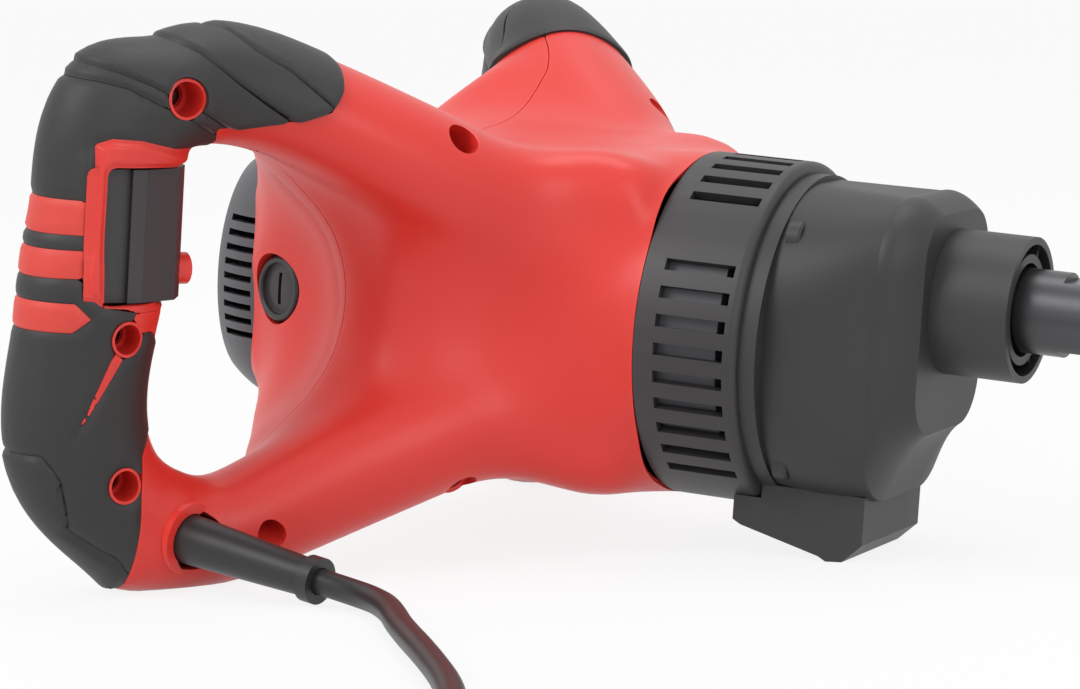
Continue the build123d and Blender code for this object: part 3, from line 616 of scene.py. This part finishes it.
# Outlines on the handle, in the grip's u and z
rubber_outline = [(60, 120), (-40, 120), (-84, 96), (-83, 88), (-80, 80), (-75, 73.5), (-66, 70.5),
                  (-56, 69), (-46, 67.5), (-38, 66.8), (-43, 60), (-36, 40), (-36, -20), (-24, -36),
                  (-16, -44), (-14.5, -58), (-14, -88), (-14, -96), (60, -120)]
slash_outline = [(-2.0, -8), (-7.2, -8), (11.5, -38)]
red_tail_outline = [(-10.5, 10), (-40, 12), (-40, -14), (-24, -6), (-17, -2), (-11.5, -2.5), (-8.5, 2)]
bezel_outline = [(7.5, 61.5), (2, 63.5), (-8, 63), (-22, 60), (-60, 58), (-60, 4), (-9, 5), (3.5, 7.0),
                 (9.2, 11), (10.3, 17), (8.4, 27), (7.8, 44)]
pocket_edge = 3.5
pocket_low_z = 7.4
pocket_high_z = 54.0
band_outlines = [[(60, 41.5), (9.5, 42.5), (9.8, 31), (60, 29.5)],
                 [(60, 24.5), (9.2, 25.8), (10.0, 16.5), (60, 14.2)],
                 [(60, 7.6), (12.4, 8.0), (7.2, 3.0), (13, -1.8), (60, -3.0)]]
pad_border = [(60, 86), (26, 84), (5, 82), (-4, 80), (-14, 75), (-26, 70), (-37, 65), (-60, 60)]
bumper_border = [(60, -46), (20, -44), (14, -52), (8, -70), (-3, -77), (-9, -80), (-14, -86), (-60, -92)]
pad_steps = [[(32, 90), (12, 88), (4, 86), (-3, 84), (-11, 81), (-19, 77.5)],
             [(-9, 100), (-13, 96), (-22, 95), (-30, 91), (-43, 82), (-58, 73)],
             [(-34, 102), (-38, 99), (-44, 98), (-51, 92), (-62, 86), (-71, 78.5)]]


def line_height(u, line):
    """Height of a border line at u."""
    knots = sorted(line)
    return np.interp(u, [k[0] for k in knots], [k[1] for k in knots])


def is_right(points):
    return points[:, 1] < 0


def rubber_reach(points):
    u, n, z = grip_reading(points)
    value = outline_reach(u, z, rubber_outline)
    value = np.minimum(value, -outline_reach(u, z, slash_outline))
    return value


def bezel_reach(points):
    """Inside the frame round the trigger, on the right handle only; the lower red tail joins it."""
    u, n, z = grip_reading(points)
    value = np.maximum(outline_reach(u, z, bezel_outline), outline_reach(u, z, red_tail_outline))
    return np.where(is_right(points), value, -50.0)


def band_reach(points):
    u, n, z = grip_reading(points)
    return np.maximum.reduce([outline_reach(u, z, band) for band in band_outlines])


def pocket_reach(points):
    """Inside the trigger's mouth."""
    u, n, z = grip_reading(points)
    corner = 3.0
    over = np.stack([u - pocket_edge + corner, pocket_low_z + corner - z, z - pocket_high_z + corner])
    outside = np.linalg.norm(np.maximum(over, 0), axis=0) + np.minimum(over.max(axis=0), 0) - corner
    return np.where(is_right(points) & (u > -48), -outside, -50.0)


def split_x(points):
    """How far a point lies ahead of the seam between front and rear housing."""
    y = np.abs(points[:, 1])
    line = np.interp(y, [0, 60, 78, 84, 90, 96, 103, 125, 165, 230],
                     [-104, -104, -104.5, -107, -110.5, -115, -121, -133, -153, -160])
    return points[:, 0] - line


def raised(mesh, height):
    """A skin moved outwards by height(points)."""
    points, faces = mesh
    return points + normals_at(points) * height(points)[:, None], faces


def combine(*fields):
    """The smallest of several fields at each point: inside all of them."""
    return lambda points: np.minimum.reduce([field_at(points) for field_at in fields])


def outside(field_at, margin=0.0):
    return lambda points: -field_at(points) - margin


def right_hand(points):
    """The same points on the right-hand side."""
    return np.stack([points[:, 0], -np.abs(points[:, 1]), points[:, 2]], axis=1)


# Screw wells and the brush recess: place on the right-hand side, direction inwards, radius, depth
def unit(*parts):
    vector = np.array(parts, dtype=float)
    return vector / np.linalg.norm(vector)


forwards = unit(ahead[0], ahead[1], 0.0)
grip_wells = [(np.array(grip_place(-24, 21, 77)), -forwards, 5.9, 13.0),
              (np.array(grip_place(-6.5, 20, -4)), -forwards, 5.2, 12.0),
              (np.array(grip_place(-8, 20, -54)), -forwards, 5.2, 12.0)]
body_wells = [(np.array((-58.0, -85.0, 66.0)), unit(-0.80, 0.42, -0.42), 6.0, 15.0),
              (np.array((-50.0, -76.0, -62.0)), unit(-0.80, 0.42, 0.42), 6.0, 15.0),
              (np.array((-99.0, -131.0, -74.0)), unit(-0.72, 0.40, 0.56), 5.2, 13.0)]
brush_well = (np.array(brush_point), unit(*brush_inward), 13.0, 6.0)
guard_root = np.array((-131.0, -149.0, -73.0))
guard_tip = np.array((-64.0, -161.5, -78.7))
guard_way = unit(*(guard_tip - guard_root))


def well_reach(well, margin=0.0):
    spot, inward, radius, depth = well

    def reach(points):
        offset = right_hand(points) - spot
        along = offset @ inward
        around = np.linalg.norm(offset - along[:, None] * inward, axis=1)
        return np.where(np.abs(along) < 24, radius + margin - around, -20.0)
    return reach


def all_wells(wells, margin=0.0):
    reaches = [well_reach(w, margin) for w in wells]
    return lambda points: np.maximum.reduce([reach(points) for reach in reaches])


def folded_to(mesh, move, choose):
    """A skin whose chosen open edges are joined to their moved copies."""
    points, faces = mesh
    edges = open_edges(faces)
    edges = edges[choose((points[edges[:, 0]] + points[edges[:, 1]]) / 2)]
    if not len(edges):
        return mesh
    rim, index = np.unique(edges, return_inverse=True)
    index = index.reshape(-1, 2) + len(points)
    walls = [np.stack([edges[:, 1], edges[:, 0], index[:, 0]], 1),
             np.stack([edges[:, 1], index[:, 0], index[:, 1]], 1)]
    return np.concatenate([points, move(points[rim])]), np.concatenate([faces] + walls)


def sink(mesh, well):
    """The open edge round a well carried straight down it, on both sides of the drill."""
    spot, inward, radius, depth = well
    for sign in (1, -1):
        direction = inward * np.array((1, sign, 1))
        origin = spot * np.array((1, sign, 1))

        def near(middle):
            offset = middle - origin
            along = offset @ direction
            around = np.linalg.norm(offset - along[:, None] * direction, axis=1)
            return (around < radius + 0.3) & (np.abs(along) < 24)

        def carried(points):
            return points + direction * (depth - (points - origin) @ direction)[:, None]

        mesh = folded_to(mesh, carried, near)
    return mesh


def turned_in(mesh, depth):
    """All open edges folded inwards along the surface's own normal."""
    reach = depth

    def move(points):
        return points - normals_at(points) * reach
    return folded_to(mesh, move, lambda middle: np.abs(sample(field[..., None], middle)[:, 0]) < 3.0)


def guard_hole_reach(points):
    offset = points - guard_root
    along = offset @ guard_way
    around = np.linalg.norm(offset - along[:, None] * guard_way, axis=1)
    return np.where((along > -8) & (along < 34), 10.6 - around, -20.0)


def bezel_here(points):
    u, n, z = grip_reading(points)
    return np.where(is_right(points), outline_reach(u, z, bezel_outline), -50.0)


def rubber_here(points):
    """Rubber: inside its outline, less the red flash, the red tail under the trigger and the frame."""
    u, n, z = grip_reading(points)
    tail = np.where(is_right(points), outline_reach(u, z, red_tail_outline), -50.0)
    return np.minimum.reduce([outline_reach(u, z, rubber_outline), -outline_reach(u, z, slash_outline),
                              -tail, -bezel_here(points)])


def over_line(line):
    def reach(points):
        u, n, z = grip_reading(points)
        return (z - line_height(u, line)) * 0.9
    return reach


def on_side(right):
    return lambda points: (-points[:, 1] if right else points[:, 1]) - 20.0


seam_half = 0.18
edge_half = 0.12
skin = clip(skin, lambda points: front_end_x - points[:, 0])
barrel_reach = 66.0
skin = clip(skin, lambda points: np.where(np.abs(points[:, 1]) < barrel_reach,
                                          points[:, 0] - rear_end_x, 20.0))
red_zone = combine(outside(rubber_here, edge_half), outside(bezel_here, edge_half),
                   outside(all_wells(body_wells)), outside(all_wells(grip_wells, 1.1)),
                   outside(guard_hole_reach), outside(pocket_reach))
front_skin = clip(skin, combine(red_zone, lambda points: split_x(points) - seam_half))
for well in body_wells:
    front_skin = sink(front_skin, well)
front_skin = turned_in(front_skin, 2.0)
rear_skin = clip(skin, combine(red_zone, lambda points: -split_x(points) - seam_half,
                               outside(well_reach(brush_well))))
rear_skin = sink(rear_skin, brush_well)
end_wall_share = 0.8


def to_axis(points):
    """Across the barrel's end towards the motor's axis."""
    return points * np.array((1, end_wall_share, end_wall_share))


def at_barrel_end(middle):
    return (np.abs(middle[:, 0] - rear_end_x) < 0.4) & (np.abs(middle[:, 1]) < barrel_reach)


rear_skin = turned_in(folded_to(rear_skin, to_axis, at_barrel_end), 2.0)
add_piece("housing_front", front_skin, red, stands_for=("front_housing",))
add_piece("housing_rear", rear_skin, red, stands_for=("rear_housing",))


def side_of(line):
    """Distance above a line drawn on the handle's side, its ends running on straight."""
    path = np.array(line, dtype=float)

    def reach(points):
        u, n, z = grip_reading(points)
        nearest = np.full(len(u), 1e9)
        above = np.zeros(len(u))
        last = len(path) - 2
        for k, ((u0, z0), (u1, z1)) in enumerate(zip(path, path[1:])):
            du, dz = u1 - u0, z1 - z0
            share = ((u - u0) * du + (z - z0) * dz) / (du * du + dz * dz)
            share = np.clip(share, -9 if k == 0 else 0, 9 if k == last else 1)
            apart = np.hypot(u - u0 - share * du, z - z0 - share * dz)
            side = np.sign((u - u0) * dz - (z - z0) * du)
            above = np.where(apart < nearest, side, above)
            nearest = np.minimum(nearest, apart)
        return nearest * above
    return reach


rubber_base = combine(rubber_here, outside(band_reach, edge_half), outside(all_wells(grip_wells, 1.1)),
                      outside(pocket_reach))
sides = (("right", True), ("left", False))
for side, right in sides:
    pad_zone = combine(rubber_base, over_line(pad_border), on_side(right))
    sleeve_zone = combine(rubber_base, outside(over_line(pad_border), edge_half),
                          over_line(bumper_border), on_side(right))
    bumper_zone = combine(rubber_base, outside(over_line(bumper_border), edge_half), on_side(right))
    band_zone = combine(rubber_here, band_reach, on_side(right))
    edges = [over_line(pad_border)] + [side_of(line) for line in pad_steps]
    plates = []
    for k, edge in enumerate(edges):
        zone = [pad_zone] + edges[1:k + 1] + [outside(e, 0.1) for e in edges[k + 1:]]
        plate = clip(skin, combine(*zone))
        drop = 1.9 if k else 0.6

        def scale(p, edge=edge, drop=drop):
            d = edge(p)
            return 0.5 * ease(pad_zone(p) / 1.8) + drop * ease(d / 2.4 + 0.25) * (1 - ease(d / 34))
        plates.append(turned_in(raised(split_faces(plate), scale), 3.2))
    add_piece(side + "_pad", joined(plates), rubber, stands_for=(side + "_arm_pad",))
    sleeve = clip(skin, sleeve_zone)
    sleeve = raised(sleeve, lambda p: 0.7 * ease(sleeve_zone(p) / 1.6))
    add_piece(side + "_sleeve", turned_in(sleeve, 1.5), rubber,
              stands_for=(side + "_grip_sleeve",))
    bumper = clip(skin, combine(bumper_zone, outside(guard_hole_reach)))
    bumper = raised(bumper, lambda p: 1.5 * ease(bumper_zone(p) / 2.2))
    add_piece(side + "_bumper", turned_in(bumper, 3.0), rubber,
              stands_for=(side + "_corner_bumper",))
    band = raised(clip(skin, band_zone), lambda p: 0.8 * ease(band_zone(p) / 1.4))
    add_piece(side + "_bands", turned_in(band, 1.5), red_band, stands_for=(side + "_grip_bands",))

# Inner wall behind the rubber, which closes the joints between its pieces
lining_zone = combine(lambda points: outline_reach(*grip_reading(points)[::2], rubber_outline),
                      outside(all_wells(grip_wells, 1.4)), outside(pocket_reach, 8.0),
                      outside(guard_hole_reach, 0.6))
for side, right in sides:
    lining = raised(clip(skin, combine(lining_zone, on_side(right))), lambda p: np.full(len(p), -1.7))
    add_piece(side + "_lining", lining, rubber)

# Frame round the trigger, with its mouth turned in towards the grip's middle
bezel_zone = combine(bezel_here, outside(pocket_reach))
bezel = split_faces(split_faces(clip(skin, bezel_zone)))
bezel = raised(bezel, lambda p: 1.9 * ease(bezel_here(p) / 3.0) - 1.3 * (1 - ease(-pocket_reach(p) / 2.2)))
mouth_wall = 7.0
mouth_taper = 0.94


def inwards(points):
    """Straight into the grip, clear of the trigger's tail."""
    u, n, z = grip_reading(points)
    return np.array([grip_place(*spot) for spot in zip(u + mouth_wall, n * mouth_taper, z)])


mouth_edge = -0.6
bezel = folded_to(bezel, lambda p: p - normals_at(p) * 1.5, lambda middle: pocket_reach(middle) < mouth_edge)
bezel = folded_to(bezel, inwards, lambda middle: pocket_reach(middle) >= mouth_edge)
add_piece("trigger_frame", bezel, red, stands_for=("trigger_bezel",))

# Red linings of the screw wells in the rubber
for number, well in enumerate(grip_wells):
    for side, right in sides:
        ring_zone = combine(well_reach(well, 0.95), outside(well_reach(well)), on_side(right))
        patch = split_faces(split_faces(clip(skin, combine(well_reach(well, 3.0), on_side(right)))))
        ring = raised(clip(patch, ring_zone), lambda p: np.full(len(p), 0.45))
        add_piece("%s_well_%d" % (side, number + 1), turned_in(sink(ring, well), 2.5), red)


def facing_out(well, sign):
    spot, inward, radius, depth = well
    return axis_frame(spot * np.array((1, sign, 1)), -inward * np.array((1, sign, 1)))


def screw_at(name, frame_matrix, radius, depth):
    """A recessed screw: floor of the well and a pan head."""
    floor, floor_faces = lathe([(radius + 0.6, -depth + 0.2), (radius * 0.75, -depth + 0.2),
                                (radius * 0.72, -depth - 1.0), (0.01, -depth - 1.0)], frame_matrix, 32)
    add_piece(name + "_floor", (floor, floor_faces), red)
    head = [(0.0, 1.9), (1.2, 1.85), (2.6, 1.5), (3.4, 0.8), (3.6, 0.0)]
    points, faces = lathe([(max(r, 0.01) * radius / 5.6, h - depth - 0.9) for r, h in reversed(head)],
                          frame_matrix, 32)
    add_piece(name + "_screw", (points, faces), blued)


for group, wells in (("grip", grip_wells), ("body", body_wells)):
    for number, well in enumerate(wells):
        for side, sign in (("right", 1), ("left", -1)):
            screw_at("%s_%s_%d" % (side, group, number + 1), facing_out(well, sign), well[2], well[3])

# Screws in the rim of the gearbox flange
flange_front_x = 47.0
flange_screw_ring = 52.5
flange_screw_turns = (-50, 47, 133, 230)
for number, degrees_up in enumerate(flange_screw_turns):
    a = radians(degrees_up)
    seat = (flange_front_x, -flange_screw_ring * cos(a), flange_screw_ring * sin(a))
    frame_matrix = axis_frame(seat, (1, 0, 0))
    lug = [(6.2, -1.0), (6.2, 3.2), (5.4, 4.0), (4.4, 4.0), (4.2, 3.4), (4.2, 2.6), (0.01, 2.6)]
    points, faces = lathe(lug, frame_matrix, 40)
    add_piece("flange_lug_%d" % (number + 1), (points, faces), cast_black)
    head = [(3.7, 2.4), (3.7, 4.4), (3.2, 5.0), (1.9, 5.2), (1.7, 4.0), (0.01, 3.9)]
    points, faces = lathe(head, frame_matrix, 40)
    add_piece("flange_screw_%d" % (number + 1), (points, faces), blued)

# Brush caps in their recesses
for side, sign in (("right", 1), ("left", -1)):
    frame_matrix = facing_out(brush_well, sign)
    cup, cup_faces = lathe([(13.4, -5.6), (0.01, -5.6)], frame_matrix, 48)
    add_piece(side + "_brush_recess", (cup, cup_faces), red)
    rim = [(11.9, -5.4), (11.9, 0.6), (11.5, 1.2), (10.9, 1.5), (10.0, 1.5), (9.5, 1.1), (9.3, 0.3),
           (9.2, -0.4), (8.9, -0.5), (6.5, -0.1), (3.0, 0.15), (0.01, 0.2)]
    points, faces = lathe(rim, frame_matrix, 64)
    undo = np.array(frame_matrix.inverted())

    def slot_reach(p):
        local = p @ undo[:3, :3].T + undo[:3, 3]
        return np.where(local[:, 2] > -2, np.maximum(np.abs(local[:, 0]) - 0.9, np.abs(local[:, 1]) - 5.8), 1.0)

    cap = (points, triangles_of(faces))
    for _ in range(3):
        pairs_cap = cap
        cap = split_faces(cap)
    cap = clip(cap, slot_reach)
    inward = brush_well[1] * np.array((1, sign, 1))
    cap = folded_to(cap, lambda p: p + inward * 2.0, lambda m: slot_reach(m) < 0.3)
    add_piece(side + "_brush_screw_cap", cap, dark, stands_for=(side + "_brush_cap",))
    floor, floor_faces = lathe([(6.3, -1.6), (0.01, -1.6)], frame_matrix, 24)
    add_piece(side + "_brush_slot_floor", (floor, floor_faces), dark)

# Floor, lights and world


def background_rays(tree):
    """One for rays that should meet the plain white background, otherwise nothing."""
    path = tree.nodes.new("ShaderNodeLightPath")
    total = path.outputs["Is Camera Ray"]
    for kind in ("Is Glossy Ray", "Is Transmission Ray"):
        either = tree.nodes.new("ShaderNodeMath")
        either.operation = "MAXIMUM"
        tree.links.new(total, either.inputs[0])
        tree.links.new(path.outputs[kind], either.inputs[1])
        total = either.outputs[0]
    return total


def make_stage():
    span = 12.0
    mesh = bpy.data.meshes.new("floor")
    mesh.from_pydata([(-span, -span, 0), (span, -span, 0), (span, span, 0), (-span, span, 0)], [],
                     [(0, 1, 2, 3)])
    floor = bpy.data.objects.new("floor", mesh)
    scene.collection.objects.link(floor)
    material, tree, shader = principled("floor_white")
    speck = add(tree, "ShaderNodeTexNoise", Scale=3.0, Detail=3.0)
    shade = mix_colour(tree, speck.outputs["Fac"], (0.80, 0.80, 0.80), (0.83, 0.83, 0.83))
    tree.links.new(shade, shader.inputs["Base Color"])
    shader.inputs["Roughness"].default_value = 0.7
    glow = add(tree, "ShaderNodeEmission")
    glow.inputs["Color"].default_value = (1, 1, 1, 1)
    share = add(tree, "ShaderNodeMath")
    share.operation = "MULTIPLY"
    share.inputs[1].default_value = 0.86
    tree.links.new(background_rays(tree), share.inputs[0])
    blend = add(tree, "ShaderNodeMixShader")
    tree.links.new(share.outputs[0], blend.inputs[0])
    tree.links.new(shader.outputs[0], blend.inputs[1])
    tree.links.new(glow.outputs[0], blend.inputs[2])
    output = [node for node in tree.nodes if node.type == "OUTPUT_MATERIAL"][0]
    tree.links.new(blend.outputs[0], output.inputs["Surface"])
    mesh.materials.append(material)
    scene.world = scene.world or bpy.data.worlds.new("studio")
    scene.world.use_nodes = True
    sky = scene.world.node_tree.nodes["Background"]
    sky.inputs["Color"].default_value = (1, 1, 1, 1)
    level = scene.world.node_tree.nodes.new("ShaderNodeMapRange")
    level.inputs["To Min"].default_value = 0.75
    level.inputs["To Max"].default_value = 1.0
    scene.world.node_tree.links.new(background_rays(scene.world.node_tree), level.inputs["Value"])
    scene.world.node_tree.links.new(level.outputs["Result"], sky.inputs["Strength"])


def area_light(name, spot, target, size, power):
    data = bpy.data.lights.new(name, "AREA")
    data.shape = "RECTANGLE"
    data.size = size[0]
    data.size_y = size[1]
    data.energy = power
    lamp = bpy.data.objects.new(name, data)
    scene.collection.objects.link(lamp)
    lamp.location = spot
    lamp.rotation_euler = (Vector(target) - Vector(spot)).to_track_quat("-Z", "Y").to_euler()


make_stage()
area_light("key", (-0.9, -1.5, 1.5), (0, 0, 0.1), (0.9, 0.9), 15)
area_light("side", (1.5, -1.2, 0.9), (0, 0, 0.1), (0.7, 1.2), 6)
area_light("top", (0.1, 0.3, 1.9), (0, 0, 0.1), (1.2, 0.8), 8)
scene.view_settings.view_transform = "Standard"
